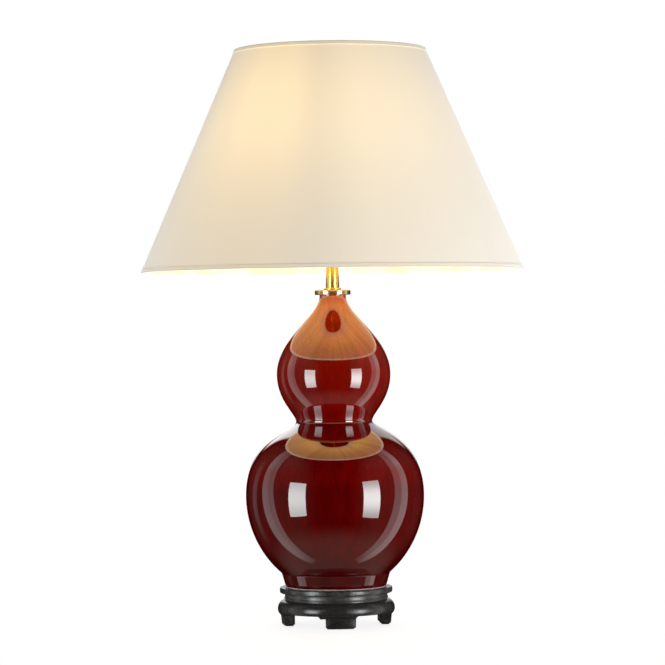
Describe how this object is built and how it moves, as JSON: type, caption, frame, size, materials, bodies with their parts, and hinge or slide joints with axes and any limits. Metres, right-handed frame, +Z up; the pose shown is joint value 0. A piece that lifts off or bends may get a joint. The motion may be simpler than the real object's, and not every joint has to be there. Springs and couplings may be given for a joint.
{
  "type": "table lamp",
  "caption": "Table lamp with a red glazed double gourd vase on a footed black wooden stand, brass fittings, a harp and a cream empire shade.",
  "frame": {"origin": "on the surface the lamp stands on, under the middle of the stand", "axes": "+Z up through the pipe, the front of the lamp faces -Y, +X to its right as seen from the front"},
  "size_m": [0.4571, 0.4572, 0.6877],
  "materials": {
    "black_wood": "satin black lacquer",
    "felt": "dark wool felt",
    "steel": "zinc plated",
    "red_glaze": "deep red glaze, high gloss",
    "rubber": "matt",
    "polished_brass": "polished",
    "card": "uncoated insulating card",
    "phenolic": "moulded, matt",
    "black_plastic": "moulded, satin",
    "aluminium": "rolled",
    "frosted_glass": "coated white inside",
    "black_glass": "glossy black insulator",
    "solder": "solder",
    "shade_fabric": "fine cream cotton over a stiff backing",
    "hem_fabric": "folded strip of the shade's own fabric"
  },
  "bodies": {
    "base": {"stand": "black_wood", "foot_pads": "felt", "pipe_washer": "steel", "pipe_nut": "steel", "cord_bush": "black_plastic", "lamp_pipe": "steel", "vase": "red_glaze", "neck_bush": "rubber", "cap_gasket": "rubber", "vase_cap": "polished_brass", "seat_ring": "polished_brass", "neck_tube": "polished_brass", "harp_saddle": "polished_brass", "harp": "polished_brass", "harp_stud": "polished_brass", "socket_cap": "polished_brass", "set_screw": "steel", "socket_shell": "polished_brass", "shell_liner": "card", "socket_body": "phenolic", "terminal_screws": "polished_brass", "screw_shell": "aluminium", "centre_contact": "polished_brass"},
    "switch": {"switch_stem": "steel", "switch_knob": "black_plastic"},
    "bulb": {"bulb_glass": "frosted_glass", "bulb_cap": "aluminium", "bulb_insulator": "black_glass", "bulb_contact": "solder"},
    "shade": {"shade_skin": "shade_fabric", "shade_top_hem": "hem_fabric", "shade_bottom_hem": "hem_fabric", "shade_top_ring": "steel", "shade_bottom_ring": "steel", "shade_spider": "polished_brass"},
    "ferrule_front": {"harp_ferrule_front": "polished_brass"},
    "ferrule_rear": {"harp_ferrule_rear": "polished_brass"},
    "finial": {"finial": "polished_brass"}
  },
  "joints": [
    {"name": "switch_turn", "type": "hinge", "parent": "base", "child": "switch", "pos_m": [0, 0, 0.4635], "axis": [0.9744, -0.225, 0], "continuous": true},
    {"name": "bulb_turn", "type": "hinge", "parent": "base", "child": "bulb", "pos_m": [0, 0, 0.5485], "axis": [0, 0, 1], "continuous": true},
    {"name": "shade_turn", "type": "hinge", "parent": "base", "child": "shade", "pos_m": [0, 0, 0.6663], "axis": [0, 0, 1], "continuous": true},
    {"name": "finial_turn", "type": "hinge", "parent": "base", "child": "finial", "pos_m": [0, 0, 0.678], "axis": [0, 0, 1], "continuous": true},
    {"name": "ferrule_front_lift", "type": "slide", "parent": "base", "child": "ferrule_front", "axis": [0, 0, 1], "range_m": [0, 0.012]},
    {"name": "ferrule_rear_lift", "type": "slide", "parent": "base", "child": "ferrule_rear", "axis": [0, 0, 1], "range_m": [0, 0.012]}
  ]
}
